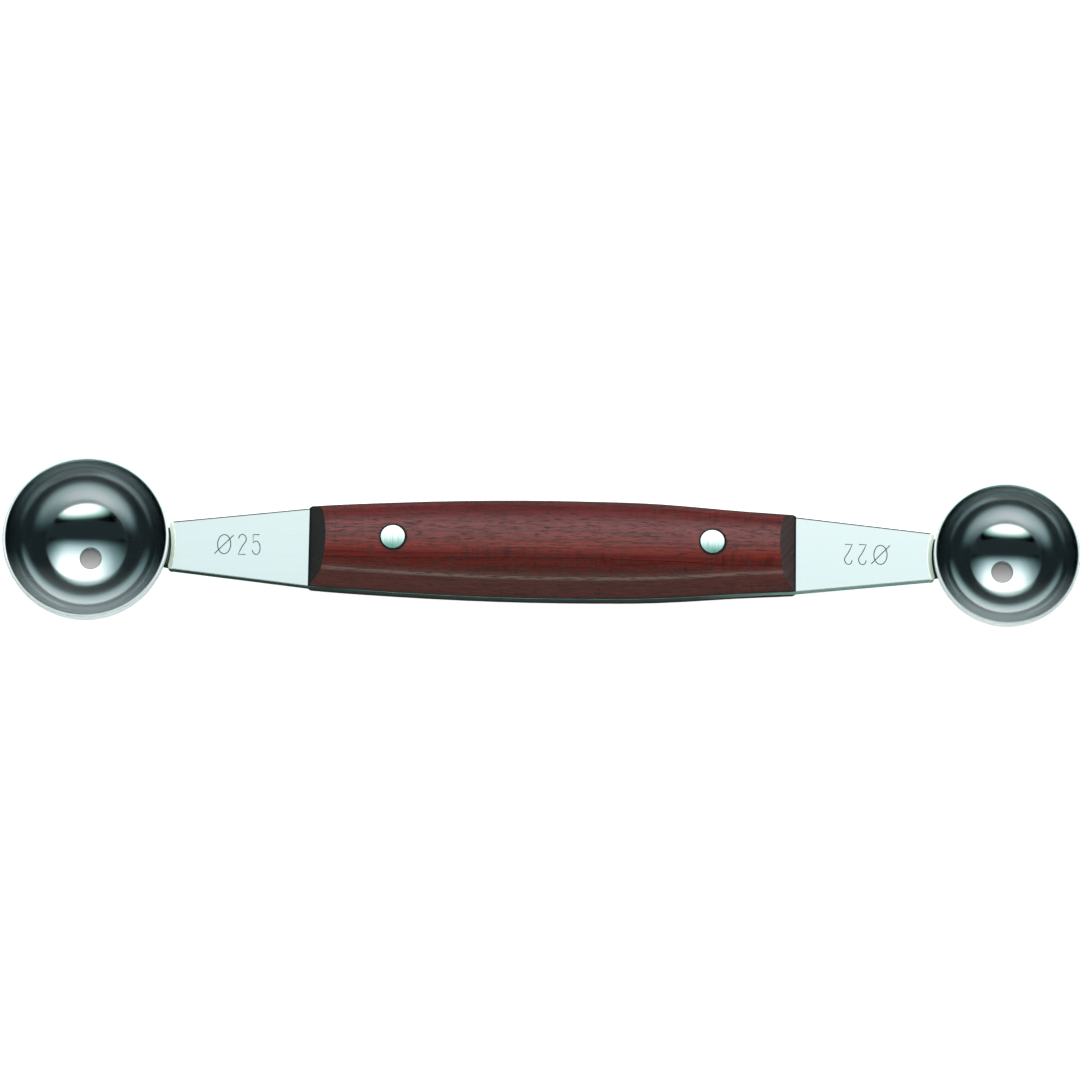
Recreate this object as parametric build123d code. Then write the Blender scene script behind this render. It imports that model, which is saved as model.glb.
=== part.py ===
from build123d import *
from build123d.topology import SkipClean
import math
import os

# Double-ended melon baller. +X runs along the tool from the 25 bowl to the 22 bowl and
# +Z comes up out of the bowls. The origin lies under the middle of the tool's length,
# on the plane that both bowls rest on. Lengths are in millimetres, angles in degrees.

# Bowls, pressed from steel sheet and named by their inner diameter
bowl_25_inner_diameter = 25.0
bowl_22_inner_diameter = 22.0
bowl_wall = 0.5
vent_diameter = 3.2

# Tang, one steel strip that narrows towards each bowl
tang_thickness = 1.8
tang_top_height = 9.15
tang_corner_radius = 0.5
tang_end_rounding = 0.7
neck_25_length = 21.75
neck_22_length = 21.45
neck_25_width = 7.7
neck_22_width = 7.6

# Handle outline, which the tang and both scales share. A pair of shares is a place along
# the handle, from the 25 end, and how far the width has grown there from the width of the
# nearer end to the full width.
handle_length = 76.4
handle_width = 15.7
handle_25_end_width = 12.7
handle_22_end_width = 12.2
middle_share = 0.5
growth_shares = (
    (0, 0), (0.125, 0.42), (0.25, 0.73), (0.375, 0.93), (0.5, 1),
    (0.6, 0.97), (0.69, 0.89), (0.78, 0.66), (0.89, 0.29), (1, 0),
)

# Section of a scale: a low upright foot, a steep facet and a crowned top
scale_thickness = 7.0
foot_height = 0.45
foot_rounding = 3.3
shoulder_rounding = 2.2
facet_slope = 70
crown_edge_slope = 32
end_lean = 23

# Rivets, ground flush with the wood at both ends
rivet_diameter = 3.7
rivet_inset = 13.3
rivet_wood_clearance = 0.1
rivet_tang_clearance = 0.03

# Weld beads between the tang's hollow ends and the bowls
weld_gap = 0.2
weld_side_inset = 0.8
weld_climb = 0.25
weld_root_drop = 1.1
weld_root_reach = 1.1
weld_root_radius = 2.5

# How far a cutting shape runs past what it cuts
overrun = 5.0

# Places that follow from the sizes above
radius_25 = bowl_25_inner_diameter / 2 + bowl_wall
radius_22 = bowl_22_inner_diameter / 2 + bowl_wall
overall_length = 2 * radius_25 + neck_25_length + handle_length + neck_22_length + 2 * radius_22
bowl_25_x = radius_25 - overall_length / 2
bowl_22_x = overall_length / 2 - radius_22
handle_25_x = bowl_25_x + radius_25 + neck_25_length
handle_22_x = handle_25_x + handle_length
rivet_25_x = handle_25_x + rivet_inset
rivet_22_x = handle_22_x - rivet_inset
tang_bottom_height = tang_top_height - tang_thickness
tang_middle = Plane.XY.offset(tang_top_height - tang_thickness / 2)


def centre_height(radius):
    """Height of a bowl's centre when it stands on the rim of its vent hole."""
    return math.sqrt(radius**2 - (vent_diameter / 2) ** 2)


def wall_reach(radius, height):
    """Distance from a bowl's axis to its outer wall at a given height."""
    return math.sqrt(radius**2 - (centre_height(radius) - height) ** 2)


def at_bowl_25(shape):
    """Move a shape made round the origin, with the tang towards +X, to the 25 bowl."""
    return Pos(bowl_25_x, 0, 0) * shape


def at_bowl_22(shape):
    """The same for the 22 bowl, where the tang comes from the other side."""
    return Pos(bowl_22_x, 0, 0) * Rot(0, 0, 180) * shape


def bowl(radius):
    """Half a hollow ball, open upwards, with the vent hole through its bottom."""
    ball = Sphere(radius) - Sphere(radius - bowl_wall)
    vent = extrude(Circle(vent_diameter / 2), -radius - overrun)
    return Pos(0, 0, centre_height(radius)) * (split(ball, Plane.XY, Keep.BOTTOM) - vent)


def handle_stations():
    """Places along the handle, each with the half width of tang and scales there."""
    stations = []
    for place, growth in growth_shares:
        end_width = handle_25_end_width if place < middle_share else handle_22_end_width
        width = end_width + (handle_width - end_width) * growth
        stations.append((handle_25_x + handle_length * place, width / 2))
    return stations


def on_neck_25(reach):
    """Point on the side of the 25 neck, this far outside the handle's end."""
    slope = (handle_25_end_width - neck_25_width) / 2 / neck_25_length
    return (handle_25_x - reach, handle_25_end_width / 2 - slope * reach)


def on_neck_22(reach):
    """Point on the side of the 22 neck, this far outside the handle's end."""
    slope = (handle_22_end_width - neck_22_width) / 2 / neck_22_length
    return (handle_22_x + reach, handle_22_end_width / 2 - slope * reach)


def tang_plan():
    """The strip seen from above, with a hollow end round each bowl and soft corners."""
    stations = handle_stations()
    end_25 = on_neck_25(neck_25_length + radius_25)
    end_22 = on_neck_22(neck_22_length + radius_22)
    side = [Line(end_25, stations[0]), Spline(*stations), Line(stations[-1], end_22)]
    ends = [Line((x, -half_width), (x, half_width)) for x, half_width in (end_25, end_22)]
    plan = make_face([*side, *[mirror(edge, Plane.XZ) for edge in side], *ends])
    plan -= at_bowl_25(Circle(radius_25 + weld_gap))
    plan -= at_bowl_22(Circle(radius_22 + weld_gap))
    corners = plan.vertices().group_by(Axis.X)
    return fillet([*corners[0], *corners[-1]], tang_corner_radius)


def end_rounding(radius):
    """Ring round a bowl's axis that takes the sharp top edge off the tang's hollow end."""
    end = radius + weld_gap
    low = (end, tang_top_height - tang_end_rounding)
    high = (end + tang_end_rounding, tang_top_height)
    above = tang_top_height + overrun
    inside = end - overrun
    profile = make_face([
        RadiusArc(low, high, tang_end_rounding),
        Polyline(high, (high[0], above), (inside, above), (inside, low[1]), low),
    ])
    return revolve(Plane.XZ * profile, Axis.Z)


def tang():
    """Full-length strip with hollow, rounded ends and two rivet holes."""
    strip = Pos(0, 0, tang_bottom_height) * extrude(tang_plan(), tang_thickness)
    strip -= at_bowl_25(end_rounding(radius_25))
    strip -= at_bowl_22(end_rounding(radius_22))
    for x in (rivet_25_x, rivet_22_x):
        strip -= rivet_stock(x, rivet_diameter / 2 + rivet_tang_clearance)
    return marked_off(strip)


def marked_off(strip):
    """The strip with the bare faces of its necks marked off from those under the scales."""
    with SkipClean():
        for x in (handle_25_x, handle_22_x):
            wood_end = Plane.YZ.offset(x)
            strip = split(strip, wood_end, Keep.TOP) + split(strip, wood_end, Keep.BOTTOM)
    return strip


def rivet_stock(x, radius):
    """Round bar that stands through the whole handle and past it."""
    return Pos(x, 0, tang_middle.origin.Z) * Cylinder(radius, 2 * (scale_thickness + tang_thickness))


def facet_length():
    """Length of the steep facet that brings the widest section to its full thickness."""
    slope = math.radians(facet_slope)
    edge_slope = math.radians(crown_edge_slope)
    crown_lift = math.tan(edge_slope / 2)
    roundings_inset = (foot_rounding * (1 - math.sin(slope))
                       + shoulder_rounding * (math.sin(slope) - math.sin(edge_slope)))
    roundings_rise = (foot_rounding * math.cos(slope)
                      + shoulder_rounding * (math.cos(edge_slope) - math.cos(slope)))
    crown_rise = (handle_width / 2 - roundings_inset) * crown_lift
    missing = scale_thickness - foot_height - roundings_rise - crown_rise
    return missing / (math.sin(slope) - math.cos(slope) * crown_lift)


def scale_section(x, half_width):
    """Section of the front scale across the handle, standing on the tang."""
    foot = Line((half_width, 0), (half_width, foot_height))
    foot_arc = JernArc(foot @ 1, foot % 1, foot_rounding, 90 - facet_slope)
    facet = PolarLine(foot_arc @ 1, facet_length(), direction=foot_arc % 1)
    shoulder = JernArc(facet @ 1, facet % 1, shoulder_rounding, facet_slope - crown_edge_slope)
    crown_radius = (shoulder @ 1).X / math.sin(math.radians(crown_edge_slope))
    crown = JernArc(shoulder @ 1, shoulder % 1, crown_radius, 2 * crown_edge_slope)
    base = Line((-half_width, 0), (half_width, 0))
    side = [foot, foot_arc, facet, shoulder]
    face = make_face([base, *side, crown, *[mirror(edge, Plane.YZ) for edge in side]])
    return Plane(origin=(x, 0, tang_top_height), x_dir=(0, 1, 0), z_dir=(1, 0, 0)) * face


def scale_blank():
    """Front scale before drilling: lofted along the handle, its ends cut on a slant."""
    stations = [on_neck_25(overrun), *handle_stations(), on_neck_22(overrun)]
    block = loft([scale_section(x, half_width) for x, half_width in stations])
    lean = math.radians(end_lean)
    for x, inward in ((handle_25_x, 1), (handle_22_x, -1)):
        slant = Plane(origin=(x, 0, tang_top_height), z_dir=(inward * math.cos(lean), 0, -math.sin(lean)))
        block = split(block, slant, Keep.TOP)
    return block


def drilled(blank):
    """The scale with its two rivet holes."""
    for x in (rivet_25_x, rivet_22_x):
        blank -= rivet_stock(x, rivet_diameter / 2 + rivet_wood_clearance)
    return blank


def rivet(x, blank):
    """Solid rivet whose ends follow the crowns of both scales."""
    stock = rivet_stock(x, rivet_diameter / 2)
    front_end = stock & blank
    back_end = mirror(front_end, tang_middle)
    core = stock & (Pos(x, 0, tang_middle.origin.Z) * Box(handle_width, handle_width, tang_thickness))
    return front_end + core + back_end


def weld(radius, neck_width):
    """Bead that fills the gap between the tang's end and the bowl, with a root below."""
    end = radius + weld_gap
    face_top = (end, tang_top_height - tang_end_rounding)
    wall_top_height = tang_top_height - tang_end_rounding + weld_climb
    wall_top = (wall_reach(radius, wall_top_height), wall_top_height)
    root_height = tang_bottom_height - weld_root_drop
    wall_root = (wall_reach(radius, root_height), root_height)
    root_toe = (end + weld_root_reach, tang_bottom_height)
    profile = make_face([
        Line(face_top, wall_top),
        RadiusArc(wall_top, wall_root, radius),
        RadiusArc(wall_root, root_toe, -weld_root_radius),
        Polyline(root_toe, (end, tang_bottom_height), face_top),
    ])
    half_angle = math.degrees(math.asin((neck_width / 2 - weld_side_inset) / end))
    return Rot(0, 0, -half_angle) * revolve(Plane.XZ * profile, Axis.Z, 2 * half_angle)


blank = scale_blank()
front_scale = drilled(blank)
pieces = {
    "bowl_25": at_bowl_25(bowl(radius_25)),
    "bowl_22": at_bowl_22(bowl(radius_22)),
    "tang": tang(),
    "front_scale": front_scale,
    "back_scale": mirror(front_scale, tang_middle),
    "rivet_25_end": rivet(rivet_25_x, blank),
    "rivet_22_end": rivet(rivet_22_x, blank),
    "weld_25": at_bowl_25(weld(radius_25, neck_25_width)),
    "weld_22": at_bowl_22(weld(radius_22, neck_22_width)),
}

os.makedirs("parts", exist_ok=True)
for name, piece in pieces.items():
    export_step(piece, f"parts/{name}.step")
    print(name, round(piece.volume, 2), piece.is_valid)
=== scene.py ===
import bmesh
import bpy
import math
from mathutils import Matrix, Vector


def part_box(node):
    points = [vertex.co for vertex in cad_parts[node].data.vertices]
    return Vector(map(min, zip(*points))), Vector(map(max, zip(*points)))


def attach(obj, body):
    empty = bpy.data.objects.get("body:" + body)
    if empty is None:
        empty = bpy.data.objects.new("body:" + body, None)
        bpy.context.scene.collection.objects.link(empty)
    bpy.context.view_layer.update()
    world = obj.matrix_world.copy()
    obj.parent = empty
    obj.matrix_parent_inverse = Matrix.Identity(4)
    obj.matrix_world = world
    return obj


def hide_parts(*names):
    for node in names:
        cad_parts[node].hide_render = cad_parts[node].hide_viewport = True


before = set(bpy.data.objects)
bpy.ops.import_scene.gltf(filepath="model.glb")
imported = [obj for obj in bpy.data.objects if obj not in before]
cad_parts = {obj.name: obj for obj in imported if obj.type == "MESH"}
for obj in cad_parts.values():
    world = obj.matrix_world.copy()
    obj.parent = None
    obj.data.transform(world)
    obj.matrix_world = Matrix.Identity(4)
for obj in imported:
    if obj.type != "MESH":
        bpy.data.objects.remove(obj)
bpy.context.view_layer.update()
bpy.ops.object.select_all(action="DESELECT")

# Studio: the tool lies on white paper and is seen from almost straight above, a little from the
# front, through a long lens. A very wide soft box hangs over and behind the table and a small
# low one stands in front, with darkness between them, as the mirror-bright bowls show.
mm = 0.001
view_distance = 1001.265 * mm
view_tilt = math.radians(15.992)
view_roll = math.radians(0.861)
view_target = Vector((-0.314, 1.69, 9.15)) * mm
view_lens = 212.849
bowl_places = (-71.3 * mm, 72.8 * mm)

view_direction = Vector((0, -math.sin(view_tilt), math.cos(view_tilt)))
bpy.ops.object.camera_add(location=view_target + view_direction * view_distance)
camera = bpy.context.object
camera.data.lens = view_lens
upright = view_direction.to_track_quat("Z", "Y").to_matrix()
camera.rotation_euler = (upright @ Matrix.Rotation(view_roll, 3, "Z")).to_euler()
bpy.context.scene.camera = camera
bpy.context.scene.view_settings.view_transform = "Standard"


class Shade:
    """A value or colour inside a finish. Sums written on it become Math nodes."""

    def __init__(self, finish, socket):
        self.finish = finish
        self.socket = socket

    def math(self, operation, *values):
        return self.finish.node("Math", {"operation": operation}, dict(enumerate(values)))

    def __add__(self, other):
        return self.math("ADD", self, other)

    def __sub__(self, other):
        return self.math("SUBTRACT", self, other)

    def __rsub__(self, other):
        return self.math("SUBTRACT", other, self)

    def __mul__(self, other):
        return self.math("MULTIPLY", self, other)

    def __pow__(self, other):
        return self.math("POWER", self, other)

    __radd__ = __add__
    __rmul__ = __mul__


class Finish:
    """A node tree being written, of a material or of the room."""

    def __init__(self, holder):
        holder.use_nodes = True
        self.tree = holder.node_tree
        self.tree.nodes.clear()

    def node(self, kind, settings, feeds, output=0):
        """Add a node, set it, feed its sockets, and return one of its outputs."""
        node = self.tree.nodes.new("ShaderNode" + kind)
        for name, setting in settings.items():
            if name == "stops":
                ramp = node.color_ramp.elements
                while len(ramp) < len(setting):
                    ramp.new(0)
                for stop, (place, colour) in zip(ramp, setting):
                    stop.position = place
                    stop.color = (*colour, 1)
            else:
                setattr(node, name, setting)
        for name, feed in feeds.items():
            socket = node.inputs[name]
            if isinstance(feed, Shade):
                self.tree.links.new(feed.socket, socket)
            elif isinstance(feed, tuple) and socket.type == "RGBA":
                socket.default_value = (*feed, 1)
            else:
                socket.default_value = feed
        return Shade(self, node.outputs[output]) if node.outputs else None

    def place(self):
        """Where a point of the piece lies, in metres from the frame's origin."""
        return self.node("TexCoord", {}, {}, "Object")

    def part_of(self, vector, axis):
        """One coordinate of a vector."""
        return self.node("SeparateXYZ", {}, {"Vector": vector}, axis)

    def noise(self, along, across, up, detail):
        """Noise with this many waves to the metre along X, Y and Z."""
        stretched = self.node("VectorMath", {"operation": "MULTIPLY"}, {
            0: self.place(), 1: (along, across, up)})
        return self.node("TexNoise", {}, {"Vector": stretched, "Scale": 1.0, "Detail": detail})

    def rise(self, value, start, end, low=0.0, high=1.0):
        """Soft step from low to high while the value goes from start to end."""
        return self.node("MapRange", {"interpolation_type": "SMOOTHSTEP"}, {
            "Value": value, "From Min": start, "From Max": end, "To Min": low, "To Max": high})

    def blend(self, share, colour, other):
        """The first colour, with this share of the other mixed in."""
        return self.node("Mix", {"data_type": "RGBA"}, {0: share, 6: colour, 7: other}, 2)

    def surface(self, feeds):
        """End a material with the shader that these values and colours feed."""
        shader = self.node("BsdfPrincipled", {}, feeds)
        self.node("OutputMaterial", {}, {"Surface": shader})


def soft_box(name, tilt, distance, width, height, radiance, edge_tint, level_at):
    """Glowing sheet over the table, tilted away from the viewer, dimmer towards its edges."""
    tilt = math.radians(tilt)
    place = Vector((0, math.sin(tilt), math.cos(tilt))) * distance
    bpy.ops.mesh.primitive_plane_add(size=1, location=place, rotation=(-tilt, 0, 0))
    sheet = bpy.context.object
    sheet.name = name
    sheet.scale = (width, height, 1)
    sheet.visible_camera = False
    cloth = bpy.data.materials.new(name + "_cloth")
    sheet.data.materials.append(cloth)
    glow = Finish(cloth)
    level = level_at(glow, glow.part_of(glow.place(), "X"), glow.part_of(glow.place(), "Y"))
    colour = glow.blend(level, edge_tint, (1.0, 1.0, 1.0))
    light = glow.node("Emission", {}, {"Color": colour, "Strength": level * radiance})
    glow.node("OutputMaterial", {}, {"Surface": light})


levels_across = (
    (0.0, 0.03), (0.10, 0.06), (0.16, 0.10), (0.22, 0.18), (0.28, 0.29), (0.34, 0.53),
    (0.41, 0.86), (0.50, 0.97), (0.57, 1.0), (0.62, 0.96), (0.67, 0.82), (0.72, 0.54),
    (0.78, 0.30), (0.84, 0.15), (0.91, 0.07), (1.0, 0.01),
)
levels_up = (
    (0.0, 0.04), (0.04, 0.09), (0.11, 0.24), (0.18, 0.44), (0.25, 0.58), (0.32, 0.70),
    (0.39, 0.82), (0.46, 0.92), (0.57, 0.98), (0.68, 1.0), (0.72, 0.86), (0.76, 0.62),
    (0.82, 0.44), (0.89, 0.30), (0.95, 0.16), (1.0, 0.05),
)


def fade(glow, along, levels):
    """Brightness along one side of a sheet, from pairs of a place there and a level."""
    stops = [(place, (level,) * 3) for place, level in levels]
    return glow.node("ValToRGB", {"stops": stops}, {"Fac": along + 0.5})


def wide_level(glow, across, up):
    """Hottest a little right of the middle and towards the far edge, fading softly all round."""
    return fade(glow, up, levels_up) * fade(glow, across, levels_across)


def oval_level(glow, across, up):
    """An oval with a soft edge, a little right of the middle."""
    out = (((across - 0.03) * 2.8) ** 2 + (up * 2.5) ** 2) ** 0.5
    return glow.rise(out, 0.45, 1.3, 1.0, 0.0)


soft_box("back_box", tilt=28, distance=0.8, width=3.1, height=1.36, radiance=2.7,
         edge_tint=(0.45, 0.80, 0.82), level_at=wide_level)
soft_box("front_box", tilt=-60, distance=0.51, width=1.0, height=0.37, radiance=2.3,
         edge_tint=(0.36, 0.92, 0.74), level_at=oval_level)

# The room round the table is dim above and pale at table height, brighter to the left and right.
# The camera itself sees a plain pale backdrop.
room = bpy.data.worlds.new("room")
bpy.context.scene.world = room
room_light = Finish(room)
direction = room_light.node("TexCoord", {}, {}, "Generated")
height = room_light.part_of(direction, "Z") * 0.5 + 0.5
sideways = room_light.part_of(direction, "X") ** 2
walls = room_light.node("ValToRGB", {"stops": (
    (0.0, (0.040, 0.060, 0.050)), (0.10, (0.055, 0.080, 0.070)), (0.32, (0.28, 0.33, 0.32)),
    (0.49, (0.42, 0.46, 0.46)), (0.52, (0.30, 0.33, 0.33)), (0.59, (0.05, 0.06, 0.065)),
    (0.66, (0.024, 0.038, 0.043)))}, {"Fac": height})
seen_by_camera = room_light.node("LightPath", {}, {}, "Is Camera Ray")
backdrop = room_light.blend(seen_by_camera, walls, (0.93, 0.94, 0.94))
table_height = room_light.rise(height, 0.2, 0.35) * room_light.rise(height, 0.52, 0.6, 1.0, 0.0)
background = room_light.node("Background", {}, {
    "Color": backdrop, "Strength": sideways * table_height * 1.6 + 1.0})
room_light.node("OutputWorld", {}, {"Surface": background})

# Painted shade: where the vents show the paper, its colour and glow are darkened, darker towards
# the back, in place of the bowls' own shade.
bpy.ops.mesh.primitive_plane_add(size=6)
table = bpy.context.object
table.name = "table"
table.visible_glossy = False
paper = bpy.data.materials.new("paper")
table.data.materials.append(paper)
sheet = Finish(paper)
fibres = sheet.noise(300, 300, 300, 4)
white = sheet.blend(fibres, (0.88, 0.89, 0.89), (0.91, 0.92, 0.92))
painted_vent_shade = 0.0
for bowl_x in bowl_places:
    out = sheet.node("VectorMath", {"operation": "DISTANCE"}, {
        0: sheet.place(), 1: (bowl_x, 0, 0)}, "Value")
    painted_vent_shade = sheet.rise(out, 1.7 * mm, 2.6 * mm, 1.0, 0.0) + painted_vent_shade
towards_back = sheet.rise(sheet.part_of(sheet.place(), "Y"), -1.8 * mm, 1.8 * mm)
shaded = sheet.blend(towards_back, (0.46, 0.44, 0.44), (0.08, 0.08, 0.08))
sheet.surface({
    "Base Color": sheet.blend(painted_vent_shade, white, (0.24, 0.22, 0.22)), "Roughness": 0.9,
    "Specular IOR Level": 0.2, "Emission Strength": 0.85,
    "Emission Color": sheet.blend(painted_vent_shade, (1.0, 1.0, 1.0), shaded)})


# Bowls: two hemispheres pressed from half-millimetre stainless sheet, with a round vent in the
# bottom, eased at rim and vent, and polished on a turning mop that leaves faint rings. Inside, the
# near side is made less metallic, a painted haze that lifts its dark reflections to grey. A satin
# band runs round the outside below the rim, its pale colour a painted reflection of the paper, and
# the rim face is painted darker on the smaller bowl and darker and greener towards the far side.
bowl_wall = 0.5 * mm
vent_radius = 1.6 * mm
rim_easing = 0.14 * mm
rim_crease = math.radians(50)
smooth_angle = math.radians(35)
merge_distance = mm / 1000


def bowl_polish(name, centre, inner_radius, rim_painted_tone):
    """Material of one bowl, laid out round its centre, which lies level with its rim."""
    material = bpy.data.materials.new(name)
    polish = Finish(material)
    offset = polish.node("VectorMath", {"operation": "SUBTRACT"}, {
        0: polish.place(), 1: centre})
    x = polish.part_of(offset, "X")
    y = polish.part_of(offset, "Y")
    z = polish.part_of(offset, "Z")
    ring = (x * x + y * y) ** 0.5
    near_rim = polish.rise(ring, inner_radius * 0.7, inner_radius)
    on_rim = polish.rise(z, -0.10 * mm, -0.05 * mm)
    outside = polish.rise(
        (ring ** 2 + z ** 2) ** 0.5, inner_radius + 0.2 * mm, inner_radius + 0.3 * mm)
    # Painted reflection: the satin band below the rim is pale and less metallic, in place of the
    # paper it would mirror.
    satin_and_painted_reflection_band = polish.rise(z, -5 * mm, -3 * mm) * outside
    away_from_vent = polish.rise(ring, inner_radius * 0.2, inner_radius * 0.85)
    # Painted haze: the inside is less metallic towards the near side, which lifts its dark
    # reflections to grey.
    inner_painted_haze = away_from_vent * polish.rise(y, -8 * mm, -1 * mm, 1.0, 0.0)
    rings = polish.node("TexNoise", {"noise_dimensions": "1D"}, {
        "W": ring, "Scale": 2600.0, "Detail": 3.0})
    cloud = polish.noise(160, 160, 160, 3)
    steel = polish.blend(cloud, (0.52, 0.555, 0.56), (0.555, 0.58, 0.585))
    # Painted reflection: the rim face takes a tone given per bowl and turns darker and greener
    # towards the far side.
    far_rim_painted_tint = polish.rise(y, 2 * mm, 11 * mm)
    rim = polish.blend(far_rim_painted_tint, rim_painted_tone, (0.24, 0.35, 0.32))
    rimmed = polish.blend(on_rim, steel, rim)
    polish.surface({
        "Base Color": polish.blend(satin_and_painted_reflection_band, rimmed, (0.84, 0.88, 0.87)),
        "Roughness": rings * 0.04 + cloud * 0.03 + near_rim * 0.05 + satin_and_painted_reflection_band * 0.2 + 0.06,
        "Metallic": 1.0 - inner_painted_haze * 0.5 - satin_and_painted_reflection_band * 0.6})
    return material


def bowl(name, node, inner_radius, rim_painted_tone):
    """Spin a point at the vent's edge into an arc, the arc into a shell, and give it its wall."""
    lowest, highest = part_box(node)
    centre = Vector(((lowest.x + highest.x) / 2, 0, highest.z))
    vent_angle = math.asin(vent_radius / inner_radius)
    vent_edge = centre + Vector((math.sin(vent_angle), 0, -math.cos(vent_angle))) * inner_radius
    bpy.ops.object.select_all(action="DESELECT")
    bpy.ops.mesh.primitive_plane_add(size=mm, location=vent_edge)
    shell = bpy.context.object
    shell.name = name
    bpy.ops.object.transform_apply(location=True, rotation=True, scale=True)
    bpy.ops.object.mode_set(mode="EDIT")
    bpy.ops.mesh.select_all(action="SELECT")
    bpy.ops.mesh.merge(type="CENTER")
    bpy.ops.mesh.spin(
        steps=64, angle=math.pi / 2 - vent_angle, center=centre, axis=(0, 1, 0))
    bpy.ops.mesh.select_all(action="SELECT")
    bpy.ops.mesh.spin(steps=192, angle=2 * math.pi, center=centre, axis=(0, 0, 1))
    bpy.ops.mesh.select_all(action="SELECT")
    bpy.ops.mesh.remove_doubles(threshold=merge_distance)
    bpy.ops.mesh.normals_make_consistent(inside=True)
    face = bmesh.from_edit_mesh(shell.data).faces[:][0]
    turned_out = face.normal.dot(centre - face.calc_center_median()) < 0
    if turned_out:
        bpy.ops.mesh.flip_normals()
    bpy.ops.object.mode_set(mode="OBJECT")
    wall = shell.modifiers.new("wall", "SOLIDIFY")
    wall.thickness = bowl_wall
    wall.offset = -1
    bpy.ops.object.modifier_apply(modifier="wall")
    easing = shell.modifiers.new("easing", "BEVEL")
    easing.width = rim_easing
    easing.segments = 3
    easing.limit_method = "ANGLE"
    easing.angle_limit = rim_crease
    bpy.ops.object.modifier_apply(modifier="easing")
    bpy.ops.object.shade_smooth_by_angle(angle=smooth_angle)
    shell.data.materials.append(bowl_polish(name + "_polish", centre, inner_radius, rim_painted_tone))
    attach(shell, "root")
    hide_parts(node)


# The last value is each rim's painted tone, darker on the smaller bowl.
bowl("bowl_25_shell", "bowl_25", 12.5 * mm, (0.50, 0.51, 0.52))
bowl("bowl_22_shell", "bowl_22", 11 * mm, (0.26, 0.30, 0.30))


# Tang: one stainless strip, blanked from sheet and ground on both faces, so its sides are duller
# than its faces; their dark green colour is painted shade, lighter on the right neck. Its edges
# are eased with a file, its hollow ends are sloped and brushed and carry a pale painted highlight,
# and each neck carries a diameter sign and its bowl's inner diameter, cut with a round-nosed tool
# and painted dark as shade in the grooves.
tang_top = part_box("tang")[1].z
tang_easing = 0.27 * mm
light_easing = 0.4
eased_x = (-57.8 * mm, 60.85 * mm)
eased_crease = math.radians(40)
hollow_ends = tuple(zip(bowl_places, (13.2 * mm, 11.7 * mm)))
end_slope = 0.23
end_slope_width = 0.7 * mm
brushed_x = (-57.0 * mm, 60.0 * mm)
tool_radius = 0.08 * mm
tool_height = 0.013 * mm
mark_reach = 2.4 * mm
mark_depth = 0.2 * mm
digit_size = Vector((1.2, 3.25)) * mm
ring_size = Vector((2.07, 3.12)) * mm
first_digit = 2.84 * mm
next_digit = 2.19 * mm

# The strokes of the marks, as corners in a box, in shares of its width and height.
ring_turns = [math.radians(15 * step) for step in range(24)]
ring = [(0.5 + math.cos(turn) / 2, 0.5 + math.sin(turn) / 2) for turn in ring_turns]
slash = [(-0.22, 0.0), (1.2, 0.98)]
two = [
    (0.02, 0.79), (0.06, 0.88), (0.18, 0.96), (0.38, 1.0), (0.58, 1.0), (0.78, 0.96),
    (0.93, 0.88), (1.0, 0.78), (0.98, 0.71), (0.9, 0.63), (0.57, 0.45), (0.3, 0.26),
    (0.0, 0.0), (0.94, 0.0),
]
five = [
    (0.88, 1.0), (0.06, 1.0), (0.08, 0.58), (0.3, 0.66), (0.52, 0.685), (0.75, 0.63),
    (0.92, 0.52), (1.0, 0.4), (1.0, 0.25), (0.93, 0.13), (0.75, 0.03), (0.47, 0.0),
    (0.2, 0.06), (0.05, 0.15), (0.0, 0.22),
]


def pick(piece):
    """Select one piece alone and make it the active one."""
    bpy.ops.object.select_all(action="DESELECT")
    piece.select_set(True)
    bpy.context.view_layer.objects.active = piece


tang = bpy.data.objects.new("tang_strip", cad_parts["tang"].data.copy())
bpy.context.scene.collection.objects.link(tang)
pick(tang)
bpy.ops.mesh.customdata_custom_splitnormals_clear()
bpy.ops.object.mode_set(mode="EDIT")
bpy.ops.mesh.select_all(action="SELECT")
bpy.ops.mesh.remove_doubles(threshold=merge_distance)
bpy.ops.mesh.dissolve_limited(angle_limit=math.radians(0.5))
for x in eased_x:
    bpy.ops.mesh.select_all(action="SELECT")
    bpy.ops.mesh.bisect(plane_co=(x, 0, 0), plane_no=(1, 0, 0))
strip = bmesh.from_edit_mesh(tang.data)
for corner in strip.verts:
    for bowl_x, end_radius in hollow_ends:
        inside = end_radius + end_slope_width - math.hypot(corner.co.x - bowl_x, corner.co.y)
        if inside > 0 and corner.co.z > tang_top - end_slope_width - mm / 100:
            corner.co.z = tang_top - inside * end_slope
share = strip.edges.layers.float.new("bevel_weight_edge")
for edge in strip.edges:
    if len(edge.link_faces) == 2 and edge.calc_face_angle() > eased_crease:
        ends = [vertex.co for vertex in edge.verts]
        at_bowl = not eased_x[0] < (ends[0].x + ends[1].x) / 2 < eased_x[1]
        far_top = all(end.y > 0 and end.z > tang_top - mm / 10 for end in ends)
        edge[share] = 0.0 if at_bowl else 1.0 if far_top else light_easing
bmesh.update_edit_mesh(tang.data)
bpy.ops.object.mode_set(mode="OBJECT")
easing = tang.modifiers.new("easing", "BEVEL")
easing.width = tang_easing
easing.segments = 1
easing.limit_method = "WEIGHT"
easing.use_clamp_overlap = False
bpy.ops.object.modifier_apply(modifier="easing")


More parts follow.
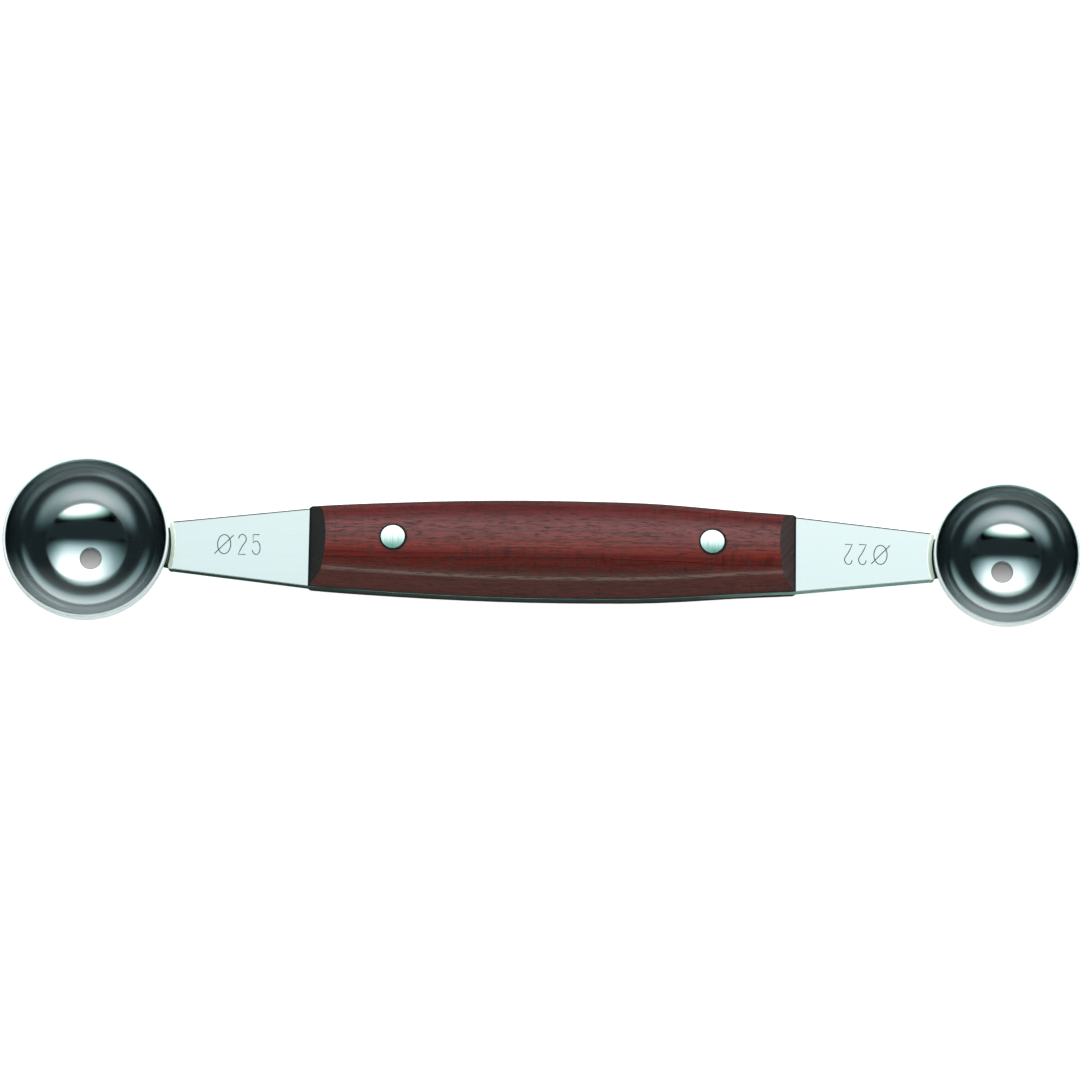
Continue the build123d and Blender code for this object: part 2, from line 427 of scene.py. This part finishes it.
def engrave(corners, size, along, origin, turn):
    """Cut one stroke into the tang's top face, its box this far along from the sign's middle."""
    line = bpy.data.curves.new("stroke", "CURVE")
    line.dimensions = "3D"
    line.bevel_depth = tool_radius
    line.bevel_resolution = 3
    line.use_fill_caps = True
    spline = line.splines.new("POLY")
    spline.points.add(len(corners) - 1)
    spline.use_cyclic_u = corners is ring
    turned = Matrix.Rotation(turn, 2)
    for point, (u, v) in zip(spline.points, corners):
        place = turned @ Vector((along + (u - 0.5) * size.x, (v - 0.5) * size.y))
        point.co = (origin[0] + place.x, origin[1] + place.y, tang_top + tool_height, 1)
    cutter = bpy.data.objects.new("stroke", line)
    bpy.context.scene.collection.objects.link(cutter)
    pick(cutter)
    bpy.ops.object.convert(target="MESH")
    bpy.context.view_layer.objects.active = tang
    cut = tang.modifiers.new("cut", "BOOLEAN")
    cut.operation = "DIFFERENCE"
    cut.solver = "EXACT"
    cut.object = cutter
    bpy.ops.object.modifier_apply(modifier="cut")
    bpy.data.objects.remove(cutter)


for origin, turn, digits in (
    ((-49.8 * mm, 0.24 * mm), 0, (two, five)),
    ((53.08 * mm, 0.10 * mm), math.pi, (two, two)),
):
    engrave(ring, ring_size, 0, origin, turn)
    engrave(slash, ring_size, 0, origin, turn)
    engrave(digits[0], digit_size, first_digit, origin, turn)
    engrave(digits[1], digit_size, first_digit + next_digit, origin, turn)

pick(tang)
bpy.ops.object.shade_smooth_by_angle(angle=smooth_angle)
flat_faces = tang.modifiers.new("flat_faces", "WEIGHTED_NORMAL")
flat_faces.keep_sharp = True
flat_faces.weight = 100
bpy.ops.object.modifier_apply(modifier="flat_faces")

tang_polish = bpy.data.materials.new("tang_polish")
ground = Finish(tang_polish)
cloud = ground.noise(90, 140, 90, 3)
grind = ground.noise(60, 5200, 5200, 3)
ground.surface({
    "Base Color": ground.blend(cloud, (0.430, 0.474, 0.480), (0.450, 0.488, 0.482)),
    "Roughness": grind * 0.10 + cloud * 0.05 + 0.14, "Metallic": 1.0})

# Painted shade: the sides are coloured dark green, and made less metallic and so lighter on the
# right neck, a painted light there.
tang_side_dull_and_painted_shade = bpy.data.materials.new("tang_side_dull_and_painted_shade")
blanked = Finish(tang_side_dull_and_painted_shade)
streak = blanked.noise(500, 500, 2600, 3)
painted_bright_neck = blanked.rise(blanked.part_of(blanked.place(), "X"), 22 * mm, 44 * mm)
blanked.surface({
    "Base Color": blanked.blend(streak, (0.20, 0.38, 0.33), (0.36, 0.54, 0.49)),
    "Roughness": streak * 0.2 + 0.25, "Metallic": 1.0 - painted_bright_neck * 0.6})

# Painted highlight: the brushed hollow ends are coloured pale yellow-white.
tang_end_painted_highlight = bpy.data.materials.new("tang_end_painted_highlight")
brushed = Finish(tang_end_painted_highlight)
brush = brushed.noise(2600, 400, 2600, 3)
brushed.surface({
    "Base Color": brushed.blend(brush, (0.86, 0.92, 0.74), (1.0, 1.0, 0.90)),
    "Roughness": brush * 0.15 + 0.3, "Metallic": 0.8})

# Painted shade: the cut strokes are coloured near-black, as shade in the grooves.
tang_mark_painted_shade = bpy.data.materials.new("tang_mark_painted_shade")
cut_steel = Finish(tang_mark_painted_shade)
chatter = cut_steel.noise(4000, 4000, 4000, 2)
cut_steel.surface({
    "Base Color": cut_steel.blend(chatter, (0.08, 0.09, 0.09), (0.16, 0.18, 0.18)),
    "Roughness": chatter * 0.2 + 0.4, "Metallic": 1.0})

tang_ease = bpy.data.materials.new("tang_ease")
filed = Finish(tang_ease)
file_lines = filed.noise(1800, 300, 300, 2)
filed.surface({
    "Base Color": filed.blend(file_lines, (0.28, 0.31, 0.31), (0.36, 0.39, 0.39)),
    "Roughness": file_lines * 0.1 + 0.2, "Metallic": 1.0})

tang_materials = (tang_polish, tang_side_dull_and_painted_shade, tang_end_painted_highlight, tang_mark_painted_shade, tang_ease)
tang.data.materials.clear()
for material in tang_materials:
    tang.data.materials.append(material)
for face in tang.data.polygons:
    facing_up = face.normal.z
    at_end = not brushed_x[0] <= face.center.x <= brushed_x[1]
    sunk = tang_top - mark_depth < face.center.z < tang_top - mm / 200
    if sunk and abs(face.center.y) < mark_reach and not at_end:
        material = tang_mark_painted_shade
    elif abs(facing_up) < 0.3:
        material = tang_side_dull_and_painted_shade
    elif at_end and facing_up < 0.99:
        material = tang_end_painted_highlight
    elif -0.3 < facing_up < 0.99:
        material = tang_ease
    else:
        material = tang_polish
    face.material_index = tang_materials.index(material)
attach(tang, "root")
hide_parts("tang")


# Welds: a small bead fills the gap between each hollow end of the tang and its bowl. The metal
# is left as it ran, with fine ripples; its near-black green colour is painted shade of the gap.
weld_metal = bpy.data.materials.new("weld_metal")
bead = Finish(weld_metal)
ripple = bead.noise(3000, 3000, 3000, 2)
weld_painted_mottle = bead.noise(900, 900, 900, 3)
bead.surface({
    "Base Color": bead.blend(weld_painted_mottle, (0.020, 0.036, 0.028), (0.055, 0.080, 0.062)),
    "Roughness": weld_painted_mottle * 0.2 + 0.3, "Metallic": 1.0,
    "Normal": bead.node("Bump", {}, {"Height": ripple, "Strength": 0.4, "Distance": 0.02 * mm})})
for node in ("weld_25", "weld_22"):
    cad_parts[node].material_slots[0].material = weld_metal


# Rivets: solid steel pins, peened and then ground flush with the crowned wood, which leaves fine
# brush lines across the handle. Their near side is painted dark green: painted shade.
rivet_face = bpy.data.materials.new("rivet_face")
pin = Finish(rivet_face)
lines = pin.noise(4200, 120, 120, 3)
rivet_painted_shade = pin.rise(pin.part_of(pin.place(), "Y"), -1.6 * mm, 0.4 * mm, 1.0, 0.0)
bright = pin.blend(pin.rise(lines, 0.3, 0.7), (0.38, 0.46, 0.43), (0.72, 0.78, 0.75))
pin.surface({
    "Base Color": pin.blend(rivet_painted_shade * 0.8, bright, (0.20, 0.40, 0.33)),
    "Roughness": lines * 0.12 + 0.16, "Metallic": 1.0,
    "Normal": pin.node("Bump", {}, {"Height": lines, "Strength": 0.15, "Distance": 0.01 * mm})})
for node in ("rivet_25_end", "rivet_22_end"):
    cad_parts[node].material_slots[0].material = rivet_face


# Handle scales: two blocks of oiled rosewood, planed to steep facets and a crowned top, and sawn
# off on a slant. Growth layers lie slanted in the block, so they run as streaks along the handle
# and as diagonal lines over the end grain. Painted shade darkens the wood along the tang, round
# each rivet and more at the left end than the right, and a painted highlight runs along the near
# shoulder.
rivet_places = (-23.25 * mm, 26.55 * mm)
tang_middle = 8.25 * mm
# The colour changes across the width: reddest along the middle of the crown, darker towards the
# near side and a little towards the far side, with a thin dark line just on the near side of the
# middle.
colours_across_width = (
    (0.06, (0.098, 0.024, 0.018)), (0.17, (0.115, 0.022, 0.016)),
    (0.255, (0.175, 0.021, 0.014)), (0.283, (0.200, 0.018, 0.012)),
    (0.292, (0.060, 0.008, 0.006)), (0.301, (0.220, 0.020, 0.014)),
    (0.42, (0.310, 0.034, 0.022)), (0.53, (0.250, 0.030, 0.024)),
    (0.66, (0.240, 0.032, 0.030)), (0.85, (0.190, 0.022, 0.022)),
)

rosewood = bpy.data.materials.new("rosewood")
grain = Finish(rosewood)
x = grain.part_of(grain.place(), "X")
y = grain.part_of(grain.place(), "Y")
z = grain.part_of(grain.place(), "Z")
wander = grain.noise(16, 70, 70, 2)
layer = y * 0.80 + z * 0.55 + wander * 0.0042
layers = grain.node("TexNoise", {"noise_dimensions": "1D"}, {
    "W": layer, "Scale": 900.0, "Detail": 4.0, "Roughness": 0.7})
fibre = grain.noise(100, 3000, 3000, 4)
pores = grain.rise(grain.noise(600, 6000, 6000, 2), 0.55, 0.63)
tone_across_width = grain.node("ValToRGB", {"stops": colours_across_width}, {
    "Fac": (y + wander * 0.0030 - 0.0015) * 62.5 + 0.5})
ribs = grain.rise(grain.noise(1500, 260, 260, 1), 0.50, 0.66) * grain.rise(
    grain.noise(60, 420, 420, 1), 0.50, 0.60)
dull = grain.blend(grain.rise(layers, 0.46, 0.70) * 0.7, tone_across_width, (0.095, 0.020, 0.016))
striped = grain.blend(grain.rise(fibre, 0.42, 0.66) * 0.55, dull, (0.070, 0.010, 0.010))
ribbed = grain.blend(ribs * 0.35, striped, (0.03, 0.008, 0.006))
normal = grain.node("NewGeometry", {}, {}, "Normal")
faces_front = grain.part_of(normal, "Y") * -1.0
# Painted highlight: the near shoulder, where it faces the front, is coloured light brown.
shoulder = grain.rise(faces_front, 0.46, 0.54) * grain.rise(faces_front, 0.66, 0.80, 1.0, 0.0)
painted_shoulder_highlight = grain.blend(shoulder * 0.5, ribbed, (0.170, 0.090, 0.070))
pored = grain.blend(pores * 0.75, painted_shoulder_highlight, (0.020, 0.008, 0.008))
across_grain = grain.rise(grain.part_of(normal, "X") ** 2, 0.5, 0.8)
# Painted shade: the end grain is coloured darker at the left end than at the right.
painted_end_shade = grain.blend(
    grain.rise(x, -10 * mm, 10 * mm), (0.020, 0.015, 0.013), (0.085, 0.036, 0.036))
end_grain = grain.blend(grain.rise(layers, 0.42, 0.62) * 0.6, painted_end_shade, (0.016, 0.010, 0.009))
wood = grain.blend(across_grain, pored, end_grain)
# Painted shade: the wood is darkened along the tang and in a ring round each rivet, offset a
# little to the right and to the front, and made rougher there.
off_tang = ((z - tang_middle) ** 2) ** 0.5
painted_seam_shade = grain.rise(off_tang, 1.3 * mm, 2.1 * mm, 1.0, 0.0) * 0.8
for rivet_x in rivet_places:
    out = ((x - rivet_x - 0.06 * mm) ** 2 + (y + 0.07 * mm) ** 2) ** 0.5
    painted_seam_shade = grain.rise(out, 2.05 * mm, 2.35 * mm, 1.0, 0.0) + painted_seam_shade
grain.surface({
    "Base Color": grain.blend(painted_seam_shade, wood, (0.008, 0.010, 0.009)), "Specular IOR Level": 0.35,
    "Roughness": fibre * 0.12 + pores * 0.25 + across_grain * 0.4 + painted_seam_shade * 0.5 + 0.17,
    "Normal": grain.node("Bump", {}, {
        "Height": fibre * 0.5 - pores, "Strength": 0.3, "Distance": 0.03 * mm})})
for node in ("front_scale", "back_scale"):
    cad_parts[node].material_slots[0].material = rosewood
